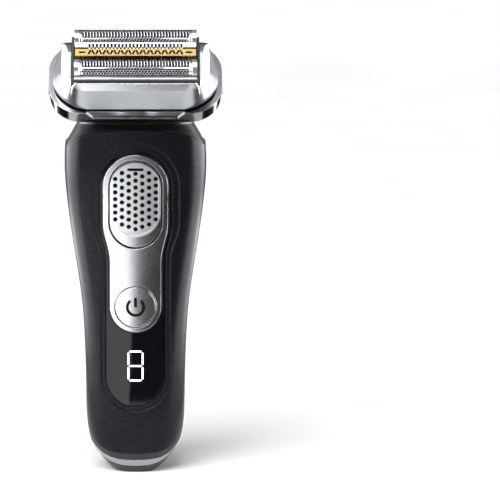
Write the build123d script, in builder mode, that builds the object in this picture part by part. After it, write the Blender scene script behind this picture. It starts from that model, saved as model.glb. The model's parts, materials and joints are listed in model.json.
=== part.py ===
# Foil shaver standing on its foot: handle with controls, swivelling head, lift-off foil cassette.
# Units are millimetres. +Z is up the handle, -Y is the front, and the origin is the centre of the foot.
import math
import os

from build123d import *

# Handle envelope: each station is height, half width, front face and back face.
STATIONS = [
    (0.0, 6.8, -8.4, 7.6),
    (2.0, 9.7, -9.8, 9.2),
    (5.0, 12.5, -11.0, 10.8),
    (9.0, 15.3, -12.0, 12.1),
    (13.5, 17.1, -12.7, 13.0),
    (19.0, 17.9, -13.1, 13.6),
    (32.0, 18.2, -13.3, 14.1),
    (50.0, 18.7, -13.5, 14.5),
    (64.0, 19.6, -13.8, 14.9),
    (78.0, 21.6, -14.2, 15.5),
    (92.0, 23.7, -14.7, 16.1),
    (105.0, 25.3, -15.2, 16.6),
    (117.0, 25.8, -15.5, 16.9),
    (128.0, 25.5, -15.6, 17.0),
]
CORNER_SHARE = 0.62  # corner radius as a share of the half depth of a section
FOOT_CORNER_SHARE = 0.9  # the same at the foot, which is nearly oval
OVAL_TOP = 64.0  # above this height the corners no longer grow tighter
FRONT_CROWN = 2.2  # rise of the front face from its corners to its middle
BACK_CROWN = 3.0
WALL = 2.4  # casing wall
FIT = 0.12  # clearance between pieces that are assembled together
RUN = 0.25  # clearance between pieces that move past each other

# Seam between front and back casings, in the side view.
SEAM_Y = 2.6
SEAM_TURN_Z = 33.4  # below this height the seam sweeps forward
SEAM_RADIUS = 30.0
SEAM_ANGLE = 50.0
GASKET_WIDTH = 2.4
BAND_WIDTH = 2.3
BAND_PROUD = 0.2  # how far the bright band stands out of the casing

# Control panel on the front, given by half widths and heights.
RIM_TOP = 122.7
RIM_TOP_R = 15.9
RIM_FOOT = 23.5
RIM_FOOT_R = 12.6
RIM_DEPTH = 0.45  # step of the rim below the casing's front
WAIST_TOP = 94.1  # the outlines narrow between these heights
WAIST_FOOT = 79.1
PANEL_TOP = 119.9
PANEL_TOP_R = 13.1
PANEL_FOOT = 25.3
PANEL_FOOT_R = 10.9
PANEL_RECESS = 0.9  # face of the glossy panel below the casing's front
PANEL_BACK = 3.2  # back of the panel below the casing's front
FLANGE = 1.4  # panel flange behind the casing wall
PLATE_TOP = 118.5
PLATE_TOP_R = 11.8
PLATE_FOOT = 53.2
PLATE_FOOT_R = 9.3
PLATE_RECESS = 0.4
PLATE_BACK = 1.9
TRACK_WIDTH = 19.8
TRACK_TOP = 116.7
TRACK_FOOT = 84.0
TRACK_FLOOR = 1.4
TRACK_GAP = 0.55  # dark groove round the slider's track
SLIDER_WIDTH = 18.2
SLIDER_TOP = 115.7
SLIDER_FOOT = 88.5
SLIDER_PROUD = 0.5
SLIDER_SKIN = 0.85
SLIDER_TRAVEL = 3.6
STEM_WIDTH = 5.0
STEM_HIGH = 8.0
DOT_R = 0.85
DOT_PITCH = 2.45  # between the columns of grip dots
DOT_COLUMNS = [  # count, middle above the slider's middle, and pitch, from the middle column outwards
    (9, -0.45, 2.55),
    (8, -0.5, 2.65),
    (8, 0.55, 2.7),
    (7, 0.4, 2.48),
]
SLIDER_RIM = 0.75  # raised rim round the dotted face
SLIDER_DISH = 0.25
DASH_WIDTH = 6.0  # short mark above the dots
DASH_HIGH = 1.1
DASH_DROP = 2.4
LOCK_BAR = (8.0, 24.0)  # width and height of the bar behind the panel
LOCK_BAR_GAP = 0.4
LOCK_BAR_THICK = 1.0
BUTTON_R = 7.3
BUTTON_PROUD = 0.25
BUTTON_GAP = 0.45  # round the button
BUTTON_FLANGE = 1.0
BUTTON_SKIRT = 4.6  # depth of the button's skirt below the casing's front

# Neck and swivel.
SHELL_TOP = 127.4
SHELL_CORNER = 121.2
SHELL_SHOULDER = (20.0, 125.2)
SHELL_CORNER_HALF = 26.0
COLLAR = [  # height, half width and front face of the neck collar
    (116.0, 25.0, -14.6),
    (121.3, 25.3, -14.6),
    (129.0, 20.9, -9.5),
    (142.0, 20.2, -7.0),
]
COLLAR_BACK = 15.8
COLLAR_CORNER = 8.0
COLLAR_PLUG = 113.0
COLLAR_GAP = 3.4  # between the collar and the head at either end of the swivel
PASSAGE_WIDTH = 24.0
PASSAGE_DEPTH = 10.0
HEAD_TILT = 48.0  # forward lean of the head at rest
SWIVEL = 40.0  # backward swing of the head
PIVOT_Y = 2.0
PIVOT_Z = 135.2
HEAD_REACH = 30.0  # from the swivel axis to the top rim of the cassette
DRUM_R = 10.0
DRUM_HALF = 17.2
DRUM_WALL = 1.5
NECK_HALF = 8.8  # half depth of the neck between drum and deck
NECK_WALL = 0.8
SADDLE_R = 11.2
PIN_R = 1.6
PIN_CLEAR = 0.05
PIN_IN = 1.8  # reach of a swivel pin into the drum
PIN_COVER = 0.9  # collar wall outside a pin's end

# Head, in its own frame: x across, d from front to back, n out of the foils.
RING_TOP = -14.2
RING_FOOT = -20.0
RING_WIDTH = 62.6
RING_DEPTH = 31.0
RING_CORNER = 12.0
RING_TAPER = 0.4
RING_WALL = 2.0
SCOOP_HALF = 18.6
SCOOP_HIGH = 3.4
SCOOP_IN = 0.8
DECK_THICK = 1.4
SEAT_INSET = 1.4
SEAT_PLATE = 1.4
SEAT_TAPER = 1.0
FRAME_FOOT = -13.0
FRAME_WIDTH = 60.0
FRAME_DEPTH = 29.0
FRAME_CORNER = 14.0
FRAME_BEVEL_N = -2.6  # the bevel round the top starts here
FRAME_BEVEL_WIDTH = 52.8
FRAME_BEVEL_DEPTH = 27.8
FRAME_BEVEL_CORNER = 9.0
FRAME_TOP_WIDTH = 48.8
FRAME_TOP_DEPTH = 25.4
FRAME_TOP_CORNER = 5.0
FRAME_WALL = 1.7
FRAME_REAR_D = 5.0  # behind this the frame's top slopes down
FRAME_REAR_ANGLE = 50.0
FRAME_REAR_BLEND = 4.0  # rounding between top and slope
BLOCK_HALF = 21.9  # half width of the foil modules
BLOCK_DEPTH = 22.0
FOIL_D = 6.5
FOIL_R = 3.5
FOIL_THICK = 0.3
FOIL_CENTRE_N = 0.7
FOIL_LEG_N = -4.6
FOIL_HALF = 20.2
SLOT_ROWS = 5
SLOT_COUNT = 30
SLOT_LONG = 1.1
SLOT_WIDE = 0.75
SLOT_STEP = 25.0  # degrees between rows of foil openings
FOIL_PLAIN = 1.2  # plain stretch at either end of a foil
LIFT_D = -1.2
LIFT_WIDTH = 3.0
LIFT_TOP = 3.5
GUARD_D = 1.7
GUARD_WIDTH = 2.2
GUARD_TOP = 4.1
COMB_THICK = 0.45
COMB_LEG_N = -2.6
COMB_TEETH = 26
RAIL_HALF = 21.6
RAIL_END = 1.0  # end wall of a trimmer rail
TOOTH_SPAN = 16.4
LIFT_SLOT = (0.7, 2.0)
LIFT_SLANT = 24.0
LIFT_EYE = (2.4, 0.7)  # eye at either end of the slanted teeth
LIFT_EYE_OUT = 2.6
GUARD_SLOT = (0.75, 1.5)
RAIL_TOOTH = 1.2  # height of the rail cutters' teeth
FLOAT_TRAVEL = 1.6
STROKE = 0.9  # half stroke of the cutters
BLADE_COUNT = 28
BLADE_THICK = 0.5
CUTTER_GAP = 0.2
CUTTER_BAR_N = -0.9
CUTTER_BAR_HALF = 1.8
CUTTER_ROOT = 0.1  # blades reach this far into their bar
CUTTER_FOOT_N = -4.4
DRIVE_PIN_R = 1.1
DRIVE_PIN_TOP = -3.3
DRIVE_ROOM = 0.4  # above a drive pin with its module pressed down
CARRIER_TOP = -9.0
CARRIER_THICK = 1.2
CARRIER_WALL = 0.7
CARRIER_RIM = 0.6
CARRIER_REAR = 3.2  # how far the carrier's rear slope lies above the frame's
SPRING_THICK = 0.25
SPRING_WIDE = 1.2
FOIL_SPRING = 2.9  # half spread of a spring's legs
LIFT_SPRING = 1.3
GUARD_SPRING = 0.95
RELEASE_TRAVEL = 1.2
RELEASE_D = 9.0
RELEASE_HIGH = 2.8
RELEASE_N = -16.8
RELEASE_IN = 1.6  # how far a release button's body reaches inside the ring's wall
RELEASE_PROUD = 0.1
RELEASE_ROOM = 1.0  # past a pressed button

# Drive inside the drum: half width, half depth, foot and top of the core and of its coil.
CORE = (10.0, 4.4, -36.4, -31.8)
COIL = (6.0, 5.4, -35.8, -32.2)
COIL_IN = 1.2  # how deep the coil lies in the core
MAGNET_THICK = 0.7
MAGNET_GAP = 0.3
MAGNET_EDGE = 1.0  # between the poles, and between a magnet and its armature's end
ARMATURE = (8.0, 1.0, 7.6, -27.4)  # half width, inner edge, outer edge and top

# Long-hair trimmer on the back.
TRIM_WIDTH = 24.0
TRIM_FOOT = 84.0
TRIM_TOP = 119.0
TRIM_FRONT = 12.0
TOOTH_PITCH = 1.5
TOOTH_HIGH = 3.0
RIB_COUNT = 4
RIB_PITCH = 2.4
RIB_HIGH = 1.1
RIB_WIDTH = 15.0
RIB_PROUD = 0.6
RIB_ROOT = 1.0
RIB_Z = 95.0
COMB_WIDTH = 21.0
COMB_FOOT = 112.0
COMB_Y = 14.3
BLADE_FOOT = 114.0
BLADE_Y = 13.4
BLADE_DROP = 0.4  # blade tips below the comb's tips
LEAF_THICK = 0.8
BED_WIDTH = 27.0
BED_THICK = 1.2
BED_BELOW = 3.0  # below the slide's foot
BED_SHORT = 1.0  # below the collar's plug

# Soft grip on the back.
GRIP_WIDTH = 25.0
GRIP_TOP = 80.0
GRIP_FOOT = 26.0
GRIP_PROUD = 0.7
GROOVE_WIDTH = 15.5
GROOVE_HIGH = 1.0
GROOVE_PITCH = 4.0
GROOVE_COUNT = 9

# Inside the handle.
CELL_R = 7.0
CELL_LENGTH = 50.0
CELL_Z = 28.0
CELL_Y = 4.2
CELL_CAP_R = 2.3
CELL_CAP = 1.0
BOARD_Y = -6.0
BOARD_THICK = 1.2
BOARD_WIDTH = 24.0
BOARD_FOOT = 26.0
BOARD_TOP = 110.0
BOARD_CORNER = 1.5
CHASSIS_THICK = 1.4
CHASSIS_WIDTH = 25.0
CRADLE_PLACES = (36.0, 70.0)
CRADLE_HIGH = 5.0
CRADLE_WALL = 2.0
SCREW_R = 1.0
SCREW_HEAD_R = 1.9
SCREW_HEAD = 0.9
SCREW_IN = (3.0, 4.0)  # from the board's side and end edges
SWITCH = (6.0, 6.0, 1.6)
DISPLAY = (10.0, 15.0, 3.2)
DISPLAY_Z = 40.3
SOCKET_WIDTH = 8.4
SOCKET_DEPTH = 5.6
SOCKET_HIGH = 9.0
SOCKET_WALL = 1.0
CONTACT_R = 0.9
CONTACT_PITCH = 4.0
CONTACT_HIGH = 5.0

FAR = 200.0  # reach of cutting tools past the object

lean = math.radians(HEAD_TILT)
normal = Vector(0, -math.sin(lean), math.cos(lean))
pivot = Vector(0, PIVOT_Y, PIVOT_Z)
HEAD = Plane(origin=pivot + normal * HEAD_REACH, x_dir=(1, 0, 0), z_dir=normal)
# Cross sections of the head: local x is d and local y is n, extruded along X.
CROSS = Plane(origin=HEAD.origin, x_dir=HEAD.y_dir, z_dir=(1, 0, 0))
BUTTON_Z = PLATE_FOOT + PLATE_FOOT_R
SLIDER_Z = (SLIDER_TOP + SLIDER_FOOT) / 2

os.makedirs("parts", exist_ok=True)
skins = {}


def keep(part, name):
    """Label a finished piece and write it."""
    part.label = name
    export_step(part, f"parts/{name}.step")


def skin(inset):
    """Handle envelope, shrunk by inset all round."""
    if inset not in skins:
        with BuildPart() as envelope:
            for z, half, front, back in STATIONS:
                near = front + inset
                far = back - inset
                width = half - inset
                with BuildSketch(Plane.XY.offset(z)) as section:
                    with BuildLine():
                        ThreePointArc((-width, near + FRONT_CROWN), (0, near), (width, near + FRONT_CROWN))
                        Line((width, near + FRONT_CROWN), (width, far - BACK_CROWN))
                        ThreePointArc((width, far - BACK_CROWN), (0, far), (-width, far - BACK_CROWN))
                        Line((-width, far - BACK_CROWN), (-width, near + FRONT_CROWN))
                    make_face()
                    oval = max(0, 1 - z / OVAL_TOP)
                    share = CORNER_SHARE + (FOOT_CORNER_SHARE - CORNER_SHARE) * oval
                    fillet(section.vertices(), share * min((far - near - BACK_CROWN) / 2, width))
            loft()
        skins[inset] = envelope.part
    return skins[inset]


def bottle(top, top_r, foot, foot_r):
    """Outline of the control panel: a round top, a waist and a narrower round foot."""
    high = top - top_r
    low = foot + foot_r
    with BuildSketch() as outline:
        with BuildLine():
            ThreePointArc((-top_r, high), (0, top), (top_r, high))
            Line((top_r, high), (top_r, WAIST_TOP))
            Spline((top_r, WAIST_TOP), (foot_r, WAIST_FOOT), tangents=[(0, -1), (0, -1)])
            Line((foot_r, WAIST_FOOT), (foot_r, low))
            ThreePointArc((foot_r, low), (0, foot), (-foot_r, low))
            Line((-foot_r, low), (-foot_r, WAIST_FOOT))
            Spline((-foot_r, WAIST_FOOT), (-top_r, WAIST_TOP), tangents=[(0, 1), (0, 1)])
            Line((-top_r, WAIST_TOP), (-top_r, high))
        make_face()
    return outline.sketch


def stadium(width, top, foot):
    """Upright slot outline on the front of the handle."""
    with BuildSketch() as outline:
        with Locations((0, (top + foot) / 2)):
            SlotOverall(top - foot, width, rotation=90)
    return outline.sketch


def seam_side(shift, front):
    """Side-view face in front of the seam, or behind it, with the seam moved back and down by shift."""
    turn = math.radians(SEAM_ANGLE)
    move = Vector(math.sin(turn / 2), -math.cos(turn / 2)) * shift
    start = Vector(SEAM_Y, FAR) + move
    bend = Vector(SEAM_Y, SEAM_TURN_Z) + move
    centre = bend - Vector(SEAM_RADIUS, 0)
    mid = centre + Vector(math.cos(turn / 2), -math.sin(turn / 2)) * SEAM_RADIUS
    out = centre + Vector(math.cos(turn), -math.sin(turn)) * SEAM_RADIUS
    end = out + Vector(-math.sin(turn), -math.cos(turn)) * FAR
    with BuildSketch() as side:
        with BuildLine():
            Line(start, bend)
            ThreePointArc(bend, mid, out)
            Line(out, end)
            if front:
                Polyline(end, (-FAR * 2, end.Y), (-FAR * 2, FAR * 2), (start.X, FAR * 2), start)
            else:
                Polyline(end, (end.X, -FAR * 2), (FAR, -FAR * 2), (FAR, FAR * 2), (start.X, FAR * 2), start)
        make_face()
    return side.sketch


def casing_top():
    """Front-view outline of what stands above the casing's top edge."""
    with BuildSketch() as outline:
        with BuildLine():
            x, z = SHELL_SHOULDER
            ThreePointArc((-x, z), (0, SHELL_TOP), (x, z))
            Polyline(
                (x, z),
                (SHELL_CORNER_HALF, SHELL_CORNER),
                (FAR, SHELL_CORNER),
                (FAR, FAR),
                (-FAR, FAR),
                (-FAR, SHELL_CORNER),
                (-SHELL_CORNER_HALF, SHELL_CORNER),
                (-x, z),
            )
        make_face()
    return outline.sketch


# Casing shells, with the gasket and the bright band between them.
with BuildPart() as cavity:
    add(skin(WALL))
    with BuildSketch(Plane.XY.offset(WALL)):
        Rectangle(FAR, FAR)
    extrude(amount=FAR, mode=Mode.INTERSECT)


def casing(proud):
    """Whole casing wall up to its top edge, with its outside raised by proud."""
    with BuildPart() as wall:
        add(skin(-proud))
        add(cavity.part, mode=Mode.SUBTRACT)
        with BuildSketch(Plane.XZ):
            add(casing_top())
        extrude(amount=FAR, both=True, mode=Mode.SUBTRACT)
    return wall.part


with BuildPart() as front_shell:
    add(casing(0))
    with BuildSketch(Plane.YZ):
        add(seam_side(0, True))
    extrude(amount=FAR, both=True, mode=Mode.INTERSECT)
    with BuildSketch(Plane.XZ):
        add(bottle(PANEL_TOP + FIT, PANEL_TOP_R + FIT, PANEL_FOOT - FIT, PANEL_FOOT_R + FIT))
    extrude(amount=FAR, mode=Mode.SUBTRACT)

with BuildPart() as rim_cut:
    with BuildSketch(Plane.XZ):
        add(bottle(RIM_TOP, RIM_TOP_R, RIM_FOOT, RIM_FOOT_R))
    extrude(amount=FAR)
    add(skin(RIM_DEPTH), mode=Mode.SUBTRACT)

with BuildPart() as front_case:
    add(front_shell.part)
    add(rim_cut.part, mode=Mode.SUBTRACT)
keep(front_case.part, "front_shell")

with BuildPart() as gasket:
    add(casing(0))
    with BuildSketch(Plane.YZ):
        add(seam_side(GASKET_WIDTH, True))
    extrude(amount=FAR, both=True, mode=Mode.INTERSECT)
    with BuildSketch(Plane.YZ):
        add(seam_side(0, True))
    extrude(amount=FAR, both=True, mode=Mode.SUBTRACT)
keep(gasket.part, "seam_gasket")

with BuildPart() as band:
    add(casing(BAND_PROUD))
    with BuildSketch(Plane.YZ):
        add(seam_side(GASKET_WIDTH + BAND_WIDTH, True))
    extrude(amount=FAR, both=True, mode=Mode.INTERSECT)
    with BuildSketch(Plane.YZ):
        add(seam_side(GASKET_WIDTH, True))
    extrude(amount=FAR, both=True, mode=Mode.SUBTRACT)
keep(band.part, "bright_band")

SOCKET_OUT = (SOCKET_WIDTH + 2 * SOCKET_WALL, SOCKET_DEPTH + 2 * SOCKET_WALL)
TRIM_CHANNEL = (TRIM_WIDTH + 2 * RUN, TRIM_FRONT - RUN)
with BuildPart() as back_shell:
    add(casing(0))
    with BuildSketch(Plane.YZ):
        add(seam_side(GASKET_WIDTH + BAND_WIDTH, True))
    extrude(amount=FAR, both=True, mode=Mode.SUBTRACT)
    with BuildSketch(Plane.XY):
        RectangleRounded(SOCKET_OUT[0] + 2 * FIT, SOCKET_OUT[1] + 2 * FIT, SOCKET_WALL)
    extrude(amount=SOCKET_HIGH, mode=Mode.SUBTRACT)
    with BuildSketch(Plane.XY.offset(TRIM_FOOT - RUN)):
        with Locations((0, TRIM_CHANNEL[1])):
            Rectangle(TRIM_CHANNEL[0], FAR, align=(Align.CENTER, Align.MIN))
    extrude(amount=FAR, mode=Mode.SUBTRACT)
keep(back_shell.part, "back_shell")

# Soft grip on the back, with cross grooves.
with BuildPart() as grip:
    with BuildSketch(Plane.XZ):
        add(stadium(GRIP_WIDTH, GRIP_TOP, GRIP_FOOT))
    extrude(amount=-FAR)
    add(skin(-GRIP_PROUD), mode=Mode.INTERSECT)
    add(skin(0), mode=Mode.SUBTRACT)
    groove_y = STATIONS[7][3] + GRIP_PROUD / 2
    with BuildSketch(Plane.XZ.offset(-groove_y)):
        with Locations((0, (GRIP_TOP + GRIP_FOOT) / 2)):
            with GridLocations(0, GROOVE_PITCH, 1, GROOVE_COUNT):
                SlotOverall(GROOVE_WIDTH, GROOVE_HIGH)
    extrude(amount=-FAR, mode=Mode.SUBTRACT)
keep(grip.part, "back_grip")

# Control panel: glossy tray, bright plate, lock slider and power button.
STEM_SLOT = (STEM_WIDTH + 2 * RUN, STEM_HIGH + SLIDER_TRAVEL + 2 * RUN)
STEM_SLOT_Z = SLIDER_Z - SLIDER_TRAVEL / 2


def panel_tool(outline, depth):
    """Cutter with an outline on the front, down to a depth below the casing's surface."""
    with BuildPart() as tool:
        with BuildSketch(Plane.XZ):
            add(outline)
        extrude(amount=FAR)
        add(skin(depth), mode=Mode.SUBTRACT)
    return tool.part


def panel_layer(outline, top, back):
    """Layer with an outline on the front, between two depths below the casing's surface."""
    with BuildPart() as layer:
        with BuildSketch(Plane.XZ):
            add(outline)
        extrude(amount=FAR)
        add(skin(top), mode=Mode.INTERSECT)
        add(skin(back), mode=Mode.SUBTRACT)
    return layer.part


def disc(radius, z):
    """Round outline on the front of the handle."""
    with BuildSketch() as outline:
        with Locations((0, z)):
            Circle(radius)
    return outline.sketch


def oblong(width, height, z):
    """Rectangular outline on the front of the handle."""
    with BuildSketch() as outline:
        with Locations((0, z)):
            Rectangle(width, height)
    return outline.sketch


def stem_and_button_holes():
    """Openings for the slider's stem and the power button, through panel and plate."""
    with BuildSketch() as holes:
        add(oblong(STEM_SLOT[0], STEM_SLOT[1], STEM_SLOT_Z))
        add(disc(BUTTON_R + BUTTON_GAP, BUTTON_Z))
    return holes.sketch


PANEL = (PANEL_TOP, PANEL_TOP_R, PANEL_FOOT, PANEL_FOOT_R)
PLATE = (PLATE_TOP, PLATE_TOP_R, PLATE_FOOT, PLATE_FOOT_R)


def grown(outline, by):
    """Bottle sizes moved outwards."""
    top, top_r, foot, foot_r = outline
    return bottle(top + by, top_r + by, foot - by, foot_r + by)


with BuildPart() as control_panel:
    add(panel_layer(grown(PANEL, 0), PANEL_RECESS, PANEL_BACK))
    add(panel_layer(grown(PANEL, FLANGE), WALL + FIT / 2, PANEL_BACK))
    add(panel_tool(grown(PLATE, FIT), PLATE_BACK), mode=Mode.SUBTRACT)
    with BuildSketch(Plane.XZ):
        add(stem_and_button_holes())
    extrude(amount=FAR, mode=Mode.SUBTRACT)
keep(control_panel.part, "control_panel")

with BuildPart() as control_plate:
    add(panel_layer(grown(PLATE, 0), PLATE_RECESS, PLATE_BACK))
    with BuildSketch(Plane.XZ):
        add(stadium(TRACK_WIDTH, TRACK_TOP, TRACK_FOOT))
        add(disc(BUTTON_R + BUTTON_GAP, BUTTON_Z))
    extrude(amount=FAR, mode=Mode.SUBTRACT)
keep(control_plate.part, "control_plate")

with BuildPart() as slider_track:
    inset = stadium(TRACK_WIDTH - 2 * TRACK_GAP, TRACK_TOP - TRACK_GAP, TRACK_FOOT + TRACK_GAP)
    add(panel_layer(inset, TRACK_FLOOR, PLATE_BACK))
    with BuildSketch(Plane.XZ):
        add(oblong(*STEM_SLOT, STEM_SLOT_Z))
    extrude(amount=FAR, mode=Mode.SUBTRACT)
keep(slider_track.part, "slider_track")

# Lock slider: dotted face in a raised rim, on a black pad that shows through the dots.
def dot_places():
    """Centres of the grip dots, column by column."""
    places = []
    for i in range(1 - len(DOT_COLUMNS), len(DOT_COLUMNS)):
        count, middle, pitch = DOT_COLUMNS[abs(i)]
        for k in range(count):
            places.append((i * DOT_PITCH, SLIDER_Z + middle + (k - (count - 1) / 2) * pitch))
    return places


SLIDER_BACK = TRACK_FLOOR - RUN / 2
SLIDER_MID = SLIDER_SKIN - SLIDER_PROUD
with BuildPart() as lock_slider:
    add(panel_layer(stadium(SLIDER_WIDTH, SLIDER_TOP, SLIDER_FOOT), -SLIDER_PROUD, SLIDER_MID))
    dished = stadium(SLIDER_WIDTH - 2 * SLIDER_RIM, SLIDER_TOP - SLIDER_RIM, SLIDER_FOOT + SLIDER_RIM)
    add(panel_tool(dished, SLIDER_DISH - SLIDER_PROUD), mode=Mode.SUBTRACT)
    with BuildSketch(Plane.XZ):
        with Locations(*dot_places()):
            Circle(DOT_R)
        with Locations((0, SLIDER_TOP - DASH_DROP)):
            SlotOverall(DASH_WIDTH, DASH_HIGH)
    extrude(amount=FAR, mode=Mode.SUBTRACT)
keep(lock_slider.part, "lock_slider")

with BuildPart() as lock_pad:
    add(panel_layer(stadium(SLIDER_WIDTH, SLIDER_TOP, SLIDER_FOOT), SLIDER_MID, SLIDER_BACK))
    bar_front = PANEL_BACK + LOCK_BAR_GAP
    add(panel_layer(oblong(STEM_WIDTH, STEM_HIGH, SLIDER_Z), SLIDER_MID, bar_front + LOCK_BAR_THICK))
    add(panel_layer(oblong(*LOCK_BAR, SLIDER_Z), bar_front, bar_front + LOCK_BAR_THICK))
keep(lock_pad.part, "lock_pad")

with BuildPart() as power_button:
    add(panel_layer(disc(BUTTON_R, BUTTON_Z), PLATE_RECESS - BUTTON_PROUD, BUTTON_SKIRT))
    add(panel_layer(disc(BUTTON_R + BUTTON_FLANGE, BUTTON_Z), PANEL_BACK + FIT, BUTTON_SKIRT))
keep(power_button.part, "power_button")

# Neck collar with the ears that carry the head's pivot pins.
with BuildPart() as collar:
    for z, half, front in COLLAR:
        with BuildSketch(Plane.XY.offset(z)):
            with Locations((0, (COLLAR_BACK + front) / 2)):
                RectangleRounded(2 * half, COLLAR_BACK - front, COLLAR_CORNER)
    loft(ruled=True)
    with BuildSketch(Plane.XZ):
        add(casing_top())
    extrude(amount=FAR, both=True, mode=Mode.INTERSECT)

with BuildPart() as collar_plug:
    add(skin(WALL + FIT))
    with BuildSketch(Plane.XY.offset(COLLAR_PLUG)):
        Rectangle(FAR, FAR)
    extrude(amount=FAR, mode=Mode.INTERSECT)
    with BuildSketch(Plane.XZ):
        add(casing_top())
    extrude(amount=FAR, both=True, mode=Mode.SUBTRACT)
    with BuildSketch(Plane.XZ):
        add(oblong(2 * (PANEL_TOP_R + FLANGE + WALL), 2 * (PANEL_TOP - COLLAR_PLUG + WALL), COLLAR_PLUG))
    extrude(amount=FAR, mode=Mode.SUBTRACT)

with BuildPart() as neck:
    add(collar.part)
    add(collar_plug.part)
    for tilt in (HEAD_TILT, HEAD_TILT - SWIVEL):
        turned = math.radians(tilt)
        up = Vector(0, -math.sin(turned), math.cos(turned))
        clear = pivot + up * (HEAD_REACH + RING_FOOT - COLLAR_GAP)
        with BuildSketch(Plane(origin=clear, x_dir=(1, 0, 0), z_dir=up)):
            Rectangle(FAR, FAR)
        extrude(amount=FAR, mode=Mode.SUBTRACT)
    with BuildSketch(Plane.YZ):
        with Locations((PIVOT_Y, PIVOT_Z)):
            Circle(SADDLE_R)
    extrude(amount=DRUM_HALF + RUN, both=True, mode=Mode.SUBTRACT)
    with BuildSketch(Plane.YZ):
        with Locations((PIVOT_Y, PIVOT_Z)):
            Circle(PIN_R)
    extrude(amount=FAR, both=True, mode=Mode.SUBTRACT)
    with BuildSketch(Plane.XY):
        with Locations((0, PIVOT_Y)):
            RectangleRounded(PASSAGE_WIDTH, PASSAGE_DEPTH, PASSAGE_DEPTH / 3)
    extrude(amount=FAR, mode=Mode.SUBTRACT)
    with BuildSketch(Plane.XY):
        with Locations((0, TRIM_CHANNEL[1])):
            Rectangle(TRIM_CHANNEL[0], FAR, align=(Align.CENTER, Align.MIN))
    extrude(amount=FAR, mode=Mode.SUBTRACT)
keep(neck.part, "neck_collar")

PIN_OUT = COLLAR[-1][1] - PIN_COVER
with BuildPart() as pivot_pins:
    for side in (-1, 1):
        with BuildSketch(Plane.YZ.offset(side * (DRUM_HALF - PIN_IN))):
            with Locations((PIVOT_Y, PIVOT_Z)):
                Circle(PIN_R)
        extrude(amount=side * (PIN_OUT - DRUM_HALF + PIN_IN))
keep(pivot_pins.part, "pivot_pins")


# Shaving head. Its own frame: x across, d towards the rear, n up through the foils.
def level(n):
    """Plane across the head at a height along its normal."""
    return HEAD.offset(n)


def bar(x0, x1, d0, d1, n0, n1):
    """Straight block in the head's own frame."""
    with BuildPart() as block:
        with BuildSketch(level(n0)):
            with Locations(((x0 + x1) / 2, (d0 + d1) / 2)):
                Rectangle(x1 - x0, d1 - d0)
        extrude(amount=n1 - n0)
    return block.part


def tub(width, depth, corner, n0, n1, taper=0.0):
    """Rounded block in the head's own frame, narrower at its foot by the taper on each side."""
    with BuildPart() as block:
        for n, less in ((n0, taper), (n1, 0)):
            with BuildSketch(level(n)):
                RectangleRounded(width - 2 * less, depth - 2 * less, corner - less)
        loft(ruled=True)
    return block.part


with BuildPart() as head_ring:
    add(tub(RING_WIDTH, RING_DEPTH, RING_CORNER, RING_FOOT, RING_TOP, RING_TAPER))
    bore = (RING_WIDTH - 2 * RING_WALL, RING_DEPTH - 2 * RING_WALL, RING_CORNER - RING_WALL)
    add(tub(*bore, RING_FOOT, RING_TOP, RING_TAPER), mode=Mode.SUBTRACT)
    scoop_plane = Plane(origin=HEAD.origin, x_dir=(1, 0, 0), z_dir=-HEAD.y_dir)
    with BuildSketch(scoop_plane.offset(RING_DEPTH / 2 - SCOOP_IN)):
        with BuildLine():
            Polyline(
                (-SCOOP_HALF, RING_TOP + 1),
                (-SCOOP_HALF + SCOOP_HIGH, RING_TOP - SCOOP_HIGH),
                (SCOOP_HALF - SCOOP_HIGH, RING_TOP - SCOOP_HIGH),
                (SCOOP_HALF, RING_TOP + 1),
                close=True,
            )
        make_face()
    extrude(amount=FAR, mode=Mode.SUBTRACT)
    for side in (-1, 1):
        window = (RELEASE_D + 2 * RUN, RELEASE_HIGH + 2 * RUN)
        with BuildSketch(CROSS.offset(side * RING_WIDTH / 4)):
            with Locations((0, RELEASE_N)):
                RectangleRounded(*window, window[1] / 3)
        extrude(amount=side * FAR, mode=Mode.SUBTRACT)
keep(head_ring.part, "head_ring")

DECK_TOP = RING_FOOT + DECK_THICK
deck_less = RING_TAPER + RING_WALL + FIT
DRUM_N = -HEAD_REACH
with BuildPart() as head_drum:
    with BuildSketch(CROSS):
        with Locations((0, DRUM_N)):
            Circle(DRUM_R)
    extrude(amount=DRUM_HALF, both=True)
    add(bar(-DRUM_HALF, DRUM_HALF, -NECK_HALF, NECK_HALF, DRUM_N, RING_FOOT))
    deck = (RING_WIDTH - 2 * deck_less, RING_DEPTH - 2 * deck_less, RING_CORNER - deck_less)
    add(tub(*deck, RING_FOOT, DECK_TOP))
    with BuildSketch(CROSS):
        with Locations((0, DRUM_N)):
            Circle(DRUM_R - DRUM_WALL)
    extrude(amount=DRUM_HALF - 2 * PIN_IN, both=True, mode=Mode.SUBTRACT)
    inner = NECK_HALF - NECK_WALL
    add(
        bar(-DRUM_HALF + 2 * PIN_IN, DRUM_HALF - 2 * PIN_IN, -inner, inner, DRUM_N, DECK_TOP + 1),
        mode=Mode.SUBTRACT,
    )
    with BuildSketch(CROSS):
        with Locations((0, DRUM_N)):
            Circle(PIN_R + PIN_CLEAR)
    extrude(amount=FAR, both=True, mode=Mode.SUBTRACT)
keep(head_drum.part, "head_drum")

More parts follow.
